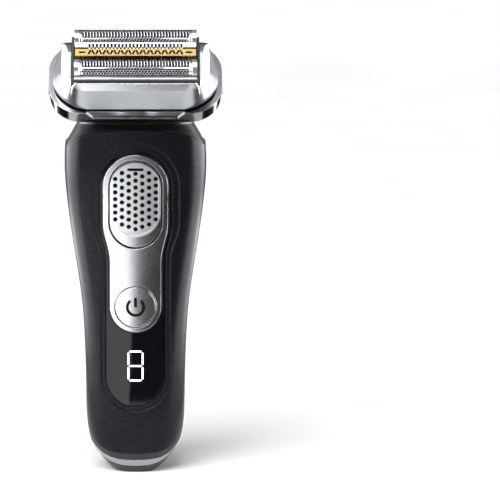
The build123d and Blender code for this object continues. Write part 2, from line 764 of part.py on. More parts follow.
SEAT_TOP = FRAME_FOOT - FIT
PIN_SLOT = (2 * (DRIVE_PIN_R + STROKE + 2 * RUN), 2 * (DRIVE_PIN_R + 2 * RUN))
seat_size = (FRAME_WIDTH - 2 * SEAT_INSET, FRAME_DEPTH - 2 * SEAT_INSET, FRAME_CORNER - SEAT_INSET)
seat_hollow = tuple(size - 2 * SEAT_PLATE for size in seat_size[:2])
with BuildPart() as head_seat:
    add(tub(*seat_size, DECK_TOP, SEAT_TOP, SEAT_TAPER))
    seat_bore = (*seat_hollow, seat_size[2] - SEAT_PLATE)
    add(tub(*seat_bore, DECK_TOP, SEAT_TOP - SEAT_PLATE, SEAT_TAPER), mode=Mode.SUBTRACT)
    with BuildSketch(level(SEAT_TOP)):
        with GridLocations(0, 2 * FOIL_D, 1, 2):
            SlotOverall(*PIN_SLOT)
    extrude(amount=-2 * SEAT_PLATE, mode=Mode.SUBTRACT)
    for side in (-1, 1):
        pressed = RING_WIDTH / 2 - RING_WALL - RELEASE_IN - RELEASE_TRAVEL
        notch = sorted((side * (pressed - RELEASE_ROOM), side * FAR))
        half_d = RELEASE_D / 2 + 2 * RUN
        add(
            bar(*notch, -half_d, half_d, DECK_TOP, RELEASE_N + RELEASE_HIGH / 2 + 2 * RUN),
            mode=Mode.SUBTRACT,
        )
keep(head_seat.part, "head_seat")

for side, name in ((-1, "release_button_left"), (1, "release_button_right")):
    with BuildPart() as release:
        inside = RING_WIDTH / 2 - RING_WALL - RELEASE_IN
        with BuildSketch(CROSS.offset(side * inside)):
            with Locations((0, RELEASE_N)):
                RectangleRounded(RELEASE_D, RELEASE_HIGH, RELEASE_HIGH / 3)
        extrude(amount=side * (RING_WIDTH / 2 + RELEASE_PROUD - inside))
    keep(release.part, name)

# Drive: a coil on a core swings two armatures, each with a pin up to its cutters.
with BuildPart() as motor_core:
    add(bar(-CORE[0], CORE[0], -CORE[1], CORE[1], CORE[2], CORE[3]))
    add(bar(-COIL[0], COIL[0], -FAR, FAR, CORE[2], COIL[2]), mode=Mode.SUBTRACT)
    for side in (-1, 1):
        trench = sorted((side * (CORE[1] - COIL_IN), side * FAR))
        add(bar(-COIL[0], COIL[0], *trench, CORE[2], CORE[3]), mode=Mode.SUBTRACT)
keep(motor_core.part, "motor_core")

with BuildPart() as motor_coil:
    for side in (-1, 1):
        winding = sorted((side * (CORE[1] - COIL_IN), side * COIL[1]))
        add(bar(-COIL[0] + FIT, COIL[0] - FIT, *winding, COIL[2], COIL[3]))
keep(motor_coil.part, "motor_coil")

for side, name in ((-1, "front"), (1, "rear")):
    magnet_top = CORE[3] + MAGNET_GAP + MAGNET_THICK
    across = sorted((side * ARMATURE[1], side * ARMATURE[2]))
    with BuildPart() as drive:
        add(bar(-ARMATURE[0], ARMATURE[0], *across, magnet_top, ARMATURE[3]))
        with BuildSketch(level(magnet_top)):
            with Locations((0, side * FOIL_D)):
                Circle(DRIVE_PIN_R)
        extrude(amount=DRIVE_PIN_TOP - magnet_top)
    keep(drive.part, f"drive_{name}")
    with BuildPart() as magnet:
        poles = sorted((side * ARMATURE[1], side * (CORE[1] + MAGNET_EDGE)))
        for end in (-1, 1):
            along = sorted((end * MAGNET_EDGE, end * (ARMATURE[0] - MAGNET_EDGE)))
            add(bar(*along, *poles, magnet_top - MAGNET_THICK, magnet_top))
    keep(magnet.part, f"magnets_{name}")

# Cassette: bright frame, black carrier, two foils and two trimmers that float on springs.
carrier_half = BLOCK_HALF + RUN + CARRIER_WALL
carrier_deep = BLOCK_DEPTH / 2 + RUN + CARRIER_WALL
SLOPE = math.radians(FRAME_REAR_ANGLE)
CARRIER_FOOT = CARRIER_TOP - CARRIER_THICK


def rear_slope(raised):
    """Side outline of the space above the cassette's sloping rear."""
    corner = Vector(FRAME_REAR_D, raised)
    down = Vector(math.cos(SLOPE), -math.sin(SLOPE))
    start = corner - Vector(FRAME_REAR_BLEND, 0)
    end = corner + down * FRAME_REAR_BLEND
    crest = (start + end + corner * 2) / 4
    far = corner + down * FAR
    with BuildSketch() as outline:
        with BuildLine():
            ThreePointArc(start, crest, end)
            Polyline(end, far, (far.X, FAR), (start.X, FAR), start)
        make_face()
    return outline.sketch


with BuildPart() as carrier:
    add(bar(-carrier_half, carrier_half, -carrier_deep, carrier_deep, CARRIER_FOOT, CARRIER_RIM))
    hollow_half = carrier_half - CARRIER_WALL
    hollow_deep = carrier_deep - CARRIER_WALL
    add(
        bar(-hollow_half, hollow_half, -hollow_deep, hollow_deep, CARRIER_TOP, FAR),
        mode=Mode.SUBTRACT,
    )
    with BuildSketch(level(CARRIER_FOOT)):
        with GridLocations(0, 2 * FOIL_D, 1, 2):
            SlotOverall(*PIN_SLOT)
    extrude(amount=2 * CARRIER_THICK, mode=Mode.SUBTRACT)
    with BuildSketch(CROSS):
        add(rear_slope(CARRIER_REAR))
    extrude(amount=FAR, both=True, mode=Mode.SUBTRACT)
keep(carrier.part, "cassette_carrier")

with BuildPart() as cassette_frame:
    with BuildSketch(level(FRAME_FOOT)):
        RectangleRounded(FRAME_WIDTH, FRAME_DEPTH, FRAME_CORNER)
    with BuildSketch(level(FRAME_BEVEL_N)):
        RectangleRounded(FRAME_BEVEL_WIDTH, FRAME_BEVEL_DEPTH, FRAME_BEVEL_CORNER)
    with BuildSketch(level(0)):
        RectangleRounded(FRAME_TOP_WIDTH, FRAME_TOP_DEPTH, FRAME_TOP_CORNER)
    loft(ruled=True)
    with BuildPart(mode=Mode.PRIVATE) as frame_hollow:
        with BuildSketch(level(FRAME_FOOT)):
            RectangleRounded(
                FRAME_WIDTH - 2 * FRAME_WALL,
                FRAME_DEPTH - 2 * FRAME_WALL,
                FRAME_CORNER - FRAME_WALL,
            )
        with BuildSketch(level(CARRIER_FOOT)):
            RectangleRounded(2 * (carrier_half + FIT), 2 * (carrier_deep + FIT), FRAME_WALL)
        loft(ruled=True)
    add(frame_hollow.part, mode=Mode.SUBTRACT)
    with BuildSketch(level(FRAME_FOOT)):
        Rectangle(2 * (carrier_half + FIT), 2 * (carrier_deep + FIT))
    extrude(amount=FAR, mode=Mode.SUBTRACT)
    with BuildSketch(CROSS):
        add(rear_slope(0))
    extrude(amount=FAR, both=True, mode=Mode.SUBTRACT)
keep(cassette_frame.part, "cassette_frame")


def arch(centre_d, radius, foot_n):
    """End view of an arched foil: a half circle on straight legs."""
    with BuildSketch() as outline:
        with BuildLine():
            CenterArc((centre_d, FOIL_CENTRE_N), radius, 0, 180)
            Polyline(
                (centre_d - radius, FOIL_CENTRE_N),
                (centre_d - radius, foot_n),
                (centre_d + radius, foot_n),
                (centre_d + radius, FOIL_CENTRE_N),
            )
        make_face()
    return outline.sketch


SLOT_PITCH = 2 * (FOIL_HALF - FOIL_PLAIN) / SLOT_COUNT
for side, name in ((-1, "front"), (1, "rear")):
    centre_d = side * FOIL_D
    with BuildPart() as foil:
        with BuildSketch(CROSS):
            add(arch(centre_d, FOIL_R, FOIL_LEG_N))
            add(arch(centre_d, FOIL_R - FOIL_THICK, FOIL_LEG_N), mode=Mode.SUBTRACT)
        extrude(amount=FOIL_HALF, both=True)
        axis_point = HEAD.from_local_coords(Vector(0, centre_d, FOIL_CENTRE_N))
        for row in range(SLOT_ROWS):
            angle = math.radians((row - (SLOT_ROWS - 1) / 2) * SLOT_STEP)
            outward = HEAD.z_dir * math.cos(angle) + HEAD.y_dir * math.sin(angle)
            shift = SLOT_PITCH / 2 * (row % 2)
            with BuildSketch(Plane(origin=axis_point, x_dir=(1, 0, 0), z_dir=outward)):
                with Locations((shift - SLOT_PITCH / 4, 0)):
                    with GridLocations(SLOT_PITCH, 0, SLOT_COUNT, 1):
                        Rectangle(SLOT_WIDE, SLOT_LONG)
            extrude(amount=2 * FOIL_R, mode=Mode.SUBTRACT)
    keep(foil.part, f"{name}_foil")

    with BuildPart() as foil_ends:
        for end in (-1, 1):
            with BuildSketch(CROSS.offset(end * FOIL_HALF)):
                add(arch(centre_d, FOIL_R, FOIL_LEG_N))
            extrude(amount=end * (BLOCK_HALF - FOIL_HALF))
        lip = sorted((side * (FOIL_D + FOIL_R), side * BLOCK_DEPTH / 2))
        add(bar(-BLOCK_HALF, BLOCK_HALF, *lip, FOIL_LEG_N, CARRIER_RIM))
    keep(foil_ends.part, f"{name}_foil_holder")

    blade_r = FOIL_R - FOIL_THICK - CUTTER_GAP
    blade_half = FOIL_HALF - STROKE - 2 * RUN
    blade_pitch = (2 * blade_half - BLADE_THICK) / (BLADE_COUNT - 1)
    with BuildPart() as cutter:
        bar_d = (centre_d - CUTTER_BAR_HALF, centre_d + CUTTER_BAR_HALF)
        add(bar(-blade_half, blade_half, *bar_d, CUTTER_FOOT_N, CUTTER_BAR_N))
        with BuildPart(mode=Mode.PRIVATE) as blades:
            for i in range(BLADE_COUNT):
                with BuildSketch(CROSS.offset(-blade_half + i * blade_pitch)):
                    with Locations((centre_d, FOIL_CENTRE_N)):
                        Circle(blade_r)
                    with Locations((centre_d, CUTTER_BAR_N - CUTTER_ROOT)):
                        Rectangle(FAR, FAR, align=(Align.CENTER, Align.MAX), mode=Mode.SUBTRACT)
                extrude(amount=BLADE_THICK)
        add(blades.part)
        with BuildSketch(level(CUTTER_FOOT_N)):
            with Locations((0, centre_d)):
                Rectangle(2 * (DRIVE_PIN_R + PIN_CLEAR), 2 * (DRIVE_PIN_R + RUN))
        extrude(amount=DRIVE_PIN_TOP + FLOAT_TRAVEL + DRIVE_ROOM - CUTTER_FOOT_N, mode=Mode.SUBTRACT)
    keep(cutter.part, f"{name}_cutter")

# The two trimmer rails between the foils, each with its own sliding cutter.
rail_pitch = 2 * TOOTH_SPAN / (COMB_TEETH - 1)
rails = (
    ("lift", LIFT_D, LIFT_WIDTH, LIFT_TOP),
    ("guard", GUARD_D, GUARD_WIDTH, GUARD_TOP),
)
for name, centre_d, width, top in rails:
    half = width / 2
    with BuildPart() as rail:
        add(bar(-RAIL_HALF, RAIL_HALF, centre_d - half, centre_d + half, COMB_LEG_N, top))
        add(
            bar(
                -RAIL_HALF + RAIL_END,
                RAIL_HALF - RAIL_END,
                centre_d - half + COMB_THICK,
                centre_d + half - COMB_THICK,
                COMB_LEG_N,
                top - COMB_THICK,
            ),
            mode=Mode.SUBTRACT,
        )
        with BuildSketch(level(top - 2 * COMB_THICK)):
            for i in range(COMB_TEETH):
                x = -TOOTH_SPAN + i * rail_pitch
                if name == "lift":
                    slant = LIFT_SLANT if i % 2 else -LIFT_SLANT
                    with Locations(Location((x, centre_d, 0), (0, 0, slant))):
                        Rectangle(*LIFT_SLOT)
                else:
                    with Locations((x, centre_d - half + GUARD_SLOT[1] / 2)):
                        Rectangle(*GUARD_SLOT)
            if name == "lift":
                with GridLocations(2 * (TOOTH_SPAN + LIFT_EYE_OUT), 0, 2, 1):
                    with Locations((0, centre_d)):
                        SlotOverall(*LIFT_EYE)
        extrude(amount=FAR, mode=Mode.SUBTRACT)
    keep(rail.part, f"{name}_trimmer")

    with BuildPart() as rail_cutter:
        inner_half = half - COMB_THICK - CUTTER_GAP / 2
        roof = top - COMB_THICK - CUTTER_GAP
        add(bar(-TOOTH_SPAN, TOOTH_SPAN, centre_d - inner_half, centre_d + inner_half, COMB_LEG_N, roof))
        with BuildSketch(level(roof - RAIL_TOOTH)):
            with Locations((0, centre_d)):
                with GridLocations(2 * rail_pitch, 0, COMB_TEETH // 2, 1):
                    Rectangle(rail_pitch, 2 * width)
        extrude(amount=FAR, mode=Mode.SUBTRACT)
    keep(rail_cutter.part, f"{name}_cutter")


# Hairpin springs under the ends of each floating module.
def hairpin(centre_d, spread, foot_n, top_n):
    """Narrow arched strip between the carrier's floor and a module's foot."""
    with BuildSketch() as outline:
        for half, top in ((spread, top_n), (spread - SPRING_THICK, top_n - SPRING_THICK)):
            cut = Mode.ADD if half == spread else Mode.SUBTRACT
            with Locations((centre_d, top - half)):
                Circle(half, mode=cut)
                Rectangle(2 * half, top - half - foot_n, align=(Align.CENTER, Align.MAX), mode=cut)
        with Locations((centre_d, foot_n)):
            Rectangle(FAR, FAR, align=(Align.CENTER, Align.MAX), mode=Mode.SUBTRACT)
    return outline.sketch


springs = (
    ("front_foil", -FOIL_D, FOIL_SPRING, FOIL_LEG_N),
    ("rear_foil", FOIL_D, FOIL_SPRING, FOIL_LEG_N),
    ("lift", LIFT_D, LIFT_SPRING, COMB_LEG_N),
    ("guard", GUARD_D, GUARD_SPRING, COMB_LEG_N),
)
for name, centre_d, spread, top_n in springs:
    with BuildPart() as spring:
        for end in (-1, 1):
            with BuildSketch(CROSS.offset(end * (RAIL_HALF - SPRING_WIDE))):
                add(hairpin(centre_d, spread, CARRIER_TOP, top_n))
            extrude(amount=end * SPRING_WIDE)
    keep(spring.part, f"{name}_springs")

# Pop-up trimmer on the back.
POCKET_Y = (BLADE_Y - RUN / 2, COMB_Y + LEAF_THICK)
with BuildPart() as trim_slide:
    with BuildSketch(Plane.XY.offset(TRIM_FOOT)):
        with Locations((0, TRIM_FRONT)):
            Rectangle(TRIM_WIDTH, FAR, align=(Align.CENTER, Align.MIN))
    extrude(amount=TRIM_TOP - TRIM_FOOT)
    add(skin(RUN), mode=Mode.INTERSECT)
    with BuildPart(mode=Mode.PRIVATE) as ribs:
        with BuildSketch(Plane.XZ.offset(-TRIM_FRONT - RIB_ROOT)):
            with Locations((0, RIB_Z)):
                with GridLocations(0, RIB_PITCH, 1, RIB_COUNT):
                    SlotOverall(RIB_WIDTH, RIB_HIGH)
        extrude(amount=-FAR)
        add(skin(-RIB_PROUD), mode=Mode.INTERSECT)
    add(ribs.part)
    with BuildSketch(Plane.XY.offset(COMB_FOOT)):
        with Locations((0, POCKET_Y[0])):
            Rectangle(
                COMB_WIDTH + 2 * FIT,
                POCKET_Y[1] - POCKET_Y[0],
                align=(Align.CENTER, Align.MIN),
            )
    extrude(amount=FAR, mode=Mode.SUBTRACT)
keep(trim_slide.part, "trimmer_slide")


def toothed_leaf(width, foot, top, y, pitch):
    """Flat blade standing in the back, with square teeth along its top."""
    with BuildPart() as leaf:
        with BuildSketch(Plane.XZ.offset(-y)):
            with Locations((0, foot)):
                Rectangle(width, top - foot, align=(Align.CENTER, Align.MIN))
            count = int(width // pitch)
            with Locations((0, top)):
                with GridLocations(pitch, 0, count, 1):
                    Rectangle(pitch / 2, 2 * TOOTH_HIGH, mode=Mode.SUBTRACT)
        extrude(amount=-LEAF_THICK)
    return leaf.part


tips = TRIM_TOP + TOOTH_HIGH
blade_width = COMB_WIDTH - 2 * STROKE - 2 * RUN
keep(toothed_leaf(COMB_WIDTH, COMB_FOOT, tips, COMB_Y, TOOTH_PITCH), "trimmer_comb")
keep(toothed_leaf(blade_width, BLADE_FOOT, tips - BLADE_DROP, BLADE_Y, TOOTH_PITCH), "trimmer_blade")

bed_foot = TRIM_FOOT - BED_BELOW
with BuildPart() as trim_bed:
    with BuildSketch(Plane.XY.offset(bed_foot)):
        with Locations((0, TRIM_FRONT - RUN)):
            Rectangle(BED_WIDTH, BED_THICK, align=(Align.CENTER, Align.MAX))
    extrude(amount=COLLAR_PLUG - BED_SHORT - bed_foot)
keep(trim_bed.part, "trimmer_bed")

# Inside the handle: chassis, cell, board, switch, display, charging socket.
board_back = BOARD_Y + BOARD_THICK / 2
chassis_back = board_back + CHASSIS_THICK
screw_grid = (BOARD_WIDTH - 2 * SCREW_IN[0], BOARD_TOP - BOARD_FOOT - 2 * SCREW_IN[1], 2, 2)
board_mid = (BOARD_TOP + BOARD_FOOT) / 2


def screw_holes(radius):
    """Front-view circles at the board's four screws."""
    with BuildSketch() as holes:
        with Locations((0, board_mid)):
            with GridLocations(*screw_grid):
                Circle(radius)
    return holes.sketch


with BuildPart() as chassis:
    with BuildSketch(Plane.XZ.offset(-chassis_back)):
        with Locations((0, board_mid)):
            Rectangle(CHASSIS_WIDTH, BOARD_TOP - BOARD_FOOT)
    extrude(amount=CHASSIS_THICK)
    for z in CRADLE_PLACES:
        with BuildSketch(Plane.XY.offset(z - CRADLE_HIGH / 2)):
            with Locations((0, chassis_back)):
                cradle_width = 2 * (CELL_R + CRADLE_WALL)
                Rectangle(cradle_width, CELL_Y - chassis_back, align=(Align.CENTER, Align.MIN))
            with Locations((0, CELL_Y)):
                Circle(CELL_R + FIT / 2, mode=Mode.SUBTRACT)
        extrude(amount=CRADLE_HIGH)
    with BuildSketch(Plane.XZ):
        add(screw_holes(SCREW_R))
    extrude(amount=FAR, both=True, mode=Mode.SUBTRACT)
keep(chassis.part, "chassis")

with BuildPart() as main_board:
    with BuildSketch(Plane.XZ.offset(-board_back)):
        with Locations((0, board_mid)):
            RectangleRounded(BOARD_WIDTH, BOARD_TOP - BOARD_FOOT, BOARD_CORNER)
    extrude(amount=BOARD_THICK)
    with BuildSketch(Plane.XZ):
        add(screw_holes(SCREW_R))
    extrude(amount=FAR, both=True, mode=Mode.SUBTRACT)
keep(main_board.part, "main_board")

board_front = board_back - BOARD_THICK
with BuildPart() as screws:
    with BuildSketch(Plane.XZ.offset(-chassis_back)):
        add(screw_holes(SCREW_R))
    extrude(amount=chassis_back - board_front)
    with BuildSketch(Plane.XZ.offset(-board_front)):
        add(screw_holes(SCREW_HEAD_R))
    extrude(amount=SCREW_HEAD)
keep(screws.part, "board_screws")

with BuildPart() as tact_switch:
    with BuildSketch(Plane.XZ.offset(-board_front)):
        with Locations((0, BUTTON_Z)):
            Rectangle(SWITCH[0], SWITCH[1])
    extrude(amount=SWITCH[2])
keep(tact_switch.part, "tact_switch")

with BuildPart() as display:
    with BuildSketch(Plane.XZ.offset(-board_front)):
        with Locations((0, DISPLAY_Z)):
            Rectangle(DISPLAY[0], DISPLAY[1])
    extrude(amount=DISPLAY[2])
keep(display.part, "display_module")

with BuildPart() as battery:
    with BuildSketch(Plane.XY.offset(CELL_Z)):
        with Locations((0, CELL_Y)):
            Circle(CELL_R)
    extrude(amount=CELL_LENGTH)
    with BuildSketch(Plane.XY.offset(CELL_Z + CELL_LENGTH)):
        with Locations((0, CELL_Y)):
            Circle(CELL_CAP_R)
    extrude(amount=CELL_CAP)
keep(battery.part, "battery")

with BuildPart() as socket:
    with BuildSketch(Plane.XY):
        RectangleRounded(*SOCKET_OUT, SOCKET_WALL)
    extrude(amount=SOCKET_HIGH + SOCKET_WALL)
    with BuildSketch(Plane.XY):
        RectangleRounded(SOCKET_WIDTH, SOCKET_DEPTH, SOCKET_WALL)
    extrude(amount=SOCKET_HIGH, mode=Mode.SUBTRACT)
    with BuildSketch(Plane.XY):
        with GridLocations(CONTACT_PITCH, 0, 2, 1):
            Circle(CONTACT_R)
    extrude(amount=FAR, mode=Mode.SUBTRACT)
keep(socket.part, "charging_socket")

with BuildPart() as contacts:
    with BuildSketch(Plane.XY.offset(SOCKET_HIGH - CONTACT_HIGH)):
        with GridLocations(CONTACT_PITCH, 0, 2, 1):
            Circle(CONTACT_R)
    extrude(amount=CONTACT_HIGH + 2 * SOCKET_WALL)
keep(contacts.part, "contact_pins")
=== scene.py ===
"""Looks of an electric foil shaver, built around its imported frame."""

import json
import math

import bmesh
import bpy
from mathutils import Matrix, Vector


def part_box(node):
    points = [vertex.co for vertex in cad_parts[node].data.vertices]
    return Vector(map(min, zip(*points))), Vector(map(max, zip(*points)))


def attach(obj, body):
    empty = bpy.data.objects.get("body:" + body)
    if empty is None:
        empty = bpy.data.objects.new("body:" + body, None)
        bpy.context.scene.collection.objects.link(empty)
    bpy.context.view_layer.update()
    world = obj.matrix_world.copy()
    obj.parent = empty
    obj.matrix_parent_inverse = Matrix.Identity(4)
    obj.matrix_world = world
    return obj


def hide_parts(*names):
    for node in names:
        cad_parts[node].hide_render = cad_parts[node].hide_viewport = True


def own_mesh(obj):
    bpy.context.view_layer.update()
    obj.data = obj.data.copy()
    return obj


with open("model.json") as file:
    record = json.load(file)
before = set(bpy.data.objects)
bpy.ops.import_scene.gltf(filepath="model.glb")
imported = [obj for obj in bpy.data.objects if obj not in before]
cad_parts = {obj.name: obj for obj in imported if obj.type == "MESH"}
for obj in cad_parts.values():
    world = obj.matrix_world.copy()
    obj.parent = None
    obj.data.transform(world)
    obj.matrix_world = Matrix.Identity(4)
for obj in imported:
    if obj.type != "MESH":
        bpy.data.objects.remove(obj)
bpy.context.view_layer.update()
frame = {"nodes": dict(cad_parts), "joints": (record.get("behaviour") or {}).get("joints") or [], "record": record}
nodes = frame["nodes"]
joints = {joint["name"]: joint for joint in frame["joints"]}
MM = 0.001

# Camera, at the photograph's angle and framing.
VIEW_DISTANCE = 1.2
VIEW_RISE = math.radians(9.0)
VIEW_TARGET = Vector((0, 0, 0.0815))
SENSOR = 36.0
PIXELS_PER_METRE = 2720.0
PICTURE = 500.0
OBJECT_LEFT = 114.5  # pixels from the picture's middle to the shaver's middle

camera_data = bpy.data.cameras.new("camera")
camera = bpy.data.objects.new("camera", camera_data)
bpy.context.scene.collection.objects.link(camera)
bpy.context.scene.camera = camera
camera_data.sensor_width = SENSOR
camera_data.lens = PIXELS_PER_METRE * VIEW_DISTANCE / PICTURE * SENSOR
camera_data.shift_x = OBJECT_LEFT / PICTURE
away = Vector((0, -math.cos(VIEW_RISE), math.sin(VIEW_RISE)))
camera.location = VIEW_TARGET + VIEW_DISTANCE * away
camera.rotation_euler = away.to_track_quat("Z", "Y").to_euler()


# Studio.
def area_light(name, place, aim, size, power, reflections_alone=False):
    """Rectangular light at a place, turned to a point, which the camera itself doesn't see."""
    data = bpy.data.lights.new(name, "AREA")
    data.shape = "RECTANGLE"
    data.size, data.size_y = size
    data.energy = power
    light = bpy.data.objects.new(name, data)
    bpy.context.scene.collection.objects.link(light)
    light.location = place
    light.visible_camera = False
    light.visible_diffuse = not reflections_alone
    light.rotation_euler = (Vector(place) - Vector(aim)).to_track_quat("Z", "Y").to_euler()


def floor_light(name, x, y, size, power, reflections_alone=False):
    """Light that lies on the floor and faces up."""
    area_light(name, (x, y, FLOOR_LIGHT_RISE), (x, y, 1), size, power, reflections_alone)


HANDLE_MIDDLE = (0, 0, 0.09)
HEAD_MIDDLE = (0, -0.02, 0.15)
FLOOR_LIGHT_RISE = 4 * MM
area_light("key", (-0.5, -0.7, 0.8), HANDLE_MIDDLE, (0.5, 0.4), 2.6)
area_light("head", (0.1, -0.25, 0.75), HEAD_MIDDLE, (0.5, 0.2), 0.25)
for side in (-1, 1):
    area_light("edge", (0.5 * side, 0.04, 0.16), HANDLE_MIDDLE, (0.75, 0.5), 11.0, True)
for side in (-1, 1):
    floor_light("low", 0.28 * side, 0.1, (0.2, 0.4), 1.8, True)
floor_light("floor_left", -0.15, -0.33, (0.28, 0.46), 0.9)

SUN_TURN = (math.radians(38), 0, math.radians(-24))
SUN_POWER = 3.3
SUN_SPREAD = math.radians(50)
sun_data = bpy.data.lights.new("sun", "SUN")
sun_data.energy = SUN_POWER
sun_data.angle = SUN_SPREAD
sun = bpy.data.objects.new("sun", sun_data)
bpy.context.scene.collection.objects.link(sun)
sun.rotation_euler = SUN_TURN

# A room that is bright at both sides and overhead, and dark where the camera stands.
ROOM_DARK = 0.06
ROOM_SIDES = 0.55
ROOM_TOP = 0.32
ROOM_COLOUR = (0.96, 0.98, 1.0, 1)
SIDES_RAMP = (0.55, 0.9)  # how far aside a direction points where the sides start and are full
TOP_RAMP = (0.3, 0.85)  # how far up a direction points where the top starts and is full
world = bpy.data.worlds.new("studio")
bpy.context.scene.world = world
world.use_nodes = True
room = world.node_tree


def room_math(kind, first, second):
    """Sum, product or other arithmetic of two values in the room's shader."""
    node = room.nodes.new("ShaderNodeMath")
    node.operation = kind
    for socket, value in zip(node.inputs, (first, second)):
        if isinstance(value, (int, float)):
            socket.default_value = value
        else:
            room.links.new(value, socket)
    return node.outputs[0]


def room_ramp(source, low, high, most):
    """Smooth rise from nothing to a most, as the source goes from low to high."""
    node = room.nodes.new("ShaderNodeMapRange")
    node.interpolation_type = "SMOOTHSTEP"
    for socket, value in (("From Min", low), ("From Max", high), ("To Min", 0), ("To Max", most)):
        node.inputs[socket].default_value = value
    room.links.new(source, node.inputs["Value"])
    return node.outputs["Result"]


direction = room.nodes.new("ShaderNodeSeparateXYZ")
room.links.new(room.nodes.new("ShaderNodeTexCoord").outputs["Generated"], direction.inputs[0])
aside = room_math("ABSOLUTE", direction.outputs["X"], 0)
sides = room_ramp(aside, *SIDES_RAMP, ROOM_SIDES)
overhead = room_ramp(direction.outputs["Z"], *TOP_RAMP, ROOM_TOP)
brightness = room_math("ADD", room_math("ADD", sides, overhead), ROOM_DARK)
backdrop = room.nodes["Background"]
backdrop.inputs["Color"].default_value = ROOM_COLOUR
room.links.new(brightness, backdrop.inputs["Strength"])

bpy.context.scene.view_settings.view_transform = "Standard"

FLOOR_SIZE = 6.0
bpy.ops.mesh.primitive_plane_add(size=FLOOR_SIZE, location=(0, 0, 0))
floor = bpy.context.object
floor.name = "floor"

# Black cards on the floor, seen in reflections alone, keep polished faces from turning all white.
CARD_RISE = 0.5 * MM
CARDS = [  # left, right, front and back edge
    (-1.4, 1.4, -1.54, -0.135),
    (-1.0, -0.09, -0.05, 0.3),
    (0.09, 1.0, -0.05, 0.3),
    (-1.0, 1.0, 0.3, 1.5),
]
cards = []
for left, right, near, far in CARDS:
    bpy.ops.mesh.primitive_plane_add(size=1, location=((left + right) / 2, (near + far) / 2, CARD_RISE))
    card = bpy.context.object
    card.name = "black_card"
    card.scale = (right - left, far - near, 1)
    card.visible_camera = False
    card.visible_diffuse = False
    card.visible_shadow = False
    cards.append(card)


# Materials.
class Finish:
    """Principled material with noise in its colour, roughness and bump, at a stated scale."""

    def __init__(self, name, colour, metallic, roughness):
        self.material = bpy.data.materials.new(name)
        self.material.use_nodes = True
        self.tree = self.material.node_tree
        self.shader = self.tree.nodes["Principled BSDF"]
        self.colour = colour
        self.roughness = roughness
        self.set("Base Color", (*colour, 1))
        self.set("Metallic", metallic)
        self.set("Roughness", roughness)
        self.place = self.tree.nodes.new("ShaderNodeTexCoord").outputs["Object"]

    def set(self, socket, value):
        """Constant on one of the shader's sockets."""
        self.shader.inputs[socket].default_value = value
        return self

    def link(self, source, target):
        """Joins two sockets."""
        self.tree.links.new(source, target)

    def noise(self, size, stretch=(1, 1, 1), detail=3.0):
        """Noise whose features are about a stated size in metres, stretched along the axes."""
        mapping = self.tree.nodes.new("ShaderNodeMapping")
        mapping.inputs["Scale"].default_value = stretch
        self.link(self.place, mapping.inputs["Vector"])
        noise = self.tree.nodes.new("ShaderNodeTexNoise")
        noise.inputs["Scale"].default_value = 1 / size
        noise.inputs["Detail"].default_value = detail
        self.link(mapping.outputs["Vector"], noise.inputs["Vector"])
        return noise.outputs["Fac"]

    def span(self, source, low, high, from_low=0.3, from_high=0.7):
        """Source mapped onto a range."""
        span = self.tree.nodes.new("ShaderNodeMapRange")
        span.inputs["From Min"].default_value = from_low
        span.inputs["From Max"].default_value = from_high
        span.inputs["To Min"].default_value = low
        span.inputs["To Max"].default_value = high
        self.link(source, span.inputs["Value"])
        return span.outputs["Result"]

    def mottle(self, size, share, stretch=(1, 1, 1)):
        """Varies the colour's brightness by a share, up and down."""
        mix = self.tree.nodes.new("ShaderNodeMix")
        mix.data_type = "RGBA"
        mix.inputs["A"].default_value = (*[c * (1 - share) for c in self.colour], 1)
        mix.inputs["B"].default_value = (*[min(1, c * (1 + share)) for c in self.colour], 1)
        self.link(self.span(self.noise(size, stretch), 0, 1), mix.inputs["Factor"])
        self.link(mix.outputs["Result"], self.shader.inputs["Base Color"])
        return self

    def wear(self, size, share, stretch=(1, 1, 1)):
        """Varies the roughness by a share, up and down."""
        low, high = self.roughness * (1 - share), self.roughness * (1 + share)
        self.link(self.span(self.noise(size, stretch), low, high), self.shader.inputs["Roughness"])
        return self

    def relief(self, size, depth, stretch=(1, 1, 1), edge=0.0):
        """Fine bumps of a stated size and depth, over edges softened by a radius."""
        bump = self.tree.nodes.new("ShaderNodeBump")
        bump.inputs["Strength"].default_value = 1.0
        bump.inputs["Distance"].default_value = depth
        self.link(self.noise(size, stretch, 2.0), bump.inputs["Height"])
        if edge:
            soft = self.tree.nodes.new("ShaderNodeBevel")
            soft.samples = 4
            soft.inputs["Radius"].default_value = edge
            self.link(soft.outputs["Normal"], bump.inputs["Normal"])
        self.link(bump.outputs["Normal"], self.shader.inputs["Normal"])
        return self

    def flakes(self, size, bright, reach):
        """Sparkle: small cells, a few of them bright."""
        cells = self.tree.nodes.new("ShaderNodeTexVoronoi")
        cells.inputs["Scale"].default_value = 1 / size
        self.link(self.place, cells.inputs["Vector"])
        split = self.tree.nodes.new("ShaderNodeSeparateColor")
        self.link(cells.outputs["Color"], split.inputs["Color"])
        chosen = self.span(split.outputs["Red"], 0, 1, reach, 1.0)
        mix = self.tree.nodes.new("ShaderNodeMix")
        mix.data_type = "RGBA"
        mix.inputs["A"].default_value = (*self.colour, 1)
        mix.inputs["B"].default_value = (*bright, 1)
        self.link(chosen, mix.inputs["Factor"])
        self.link(mix.outputs["Result"], self.shader.inputs["Base Color"])
        return self


METAL_MOTTLE_SIZE = 40  # these sizes are in grains
METAL_MOTTLE_SHARE = 0.02
METAL_WEAR_SIZE = 150
METAL_WEAR_SHARE = 0.05
PLASTIC_MOTTLE_SIZE = 30
PLASTIC_MOTTLE_SHARE = 0.12
PLASTIC_WEAR_SIZE = 20
PLASTIC_WEAR_SHARE = 0.15
COAT_ROUGHNESS = 0.05


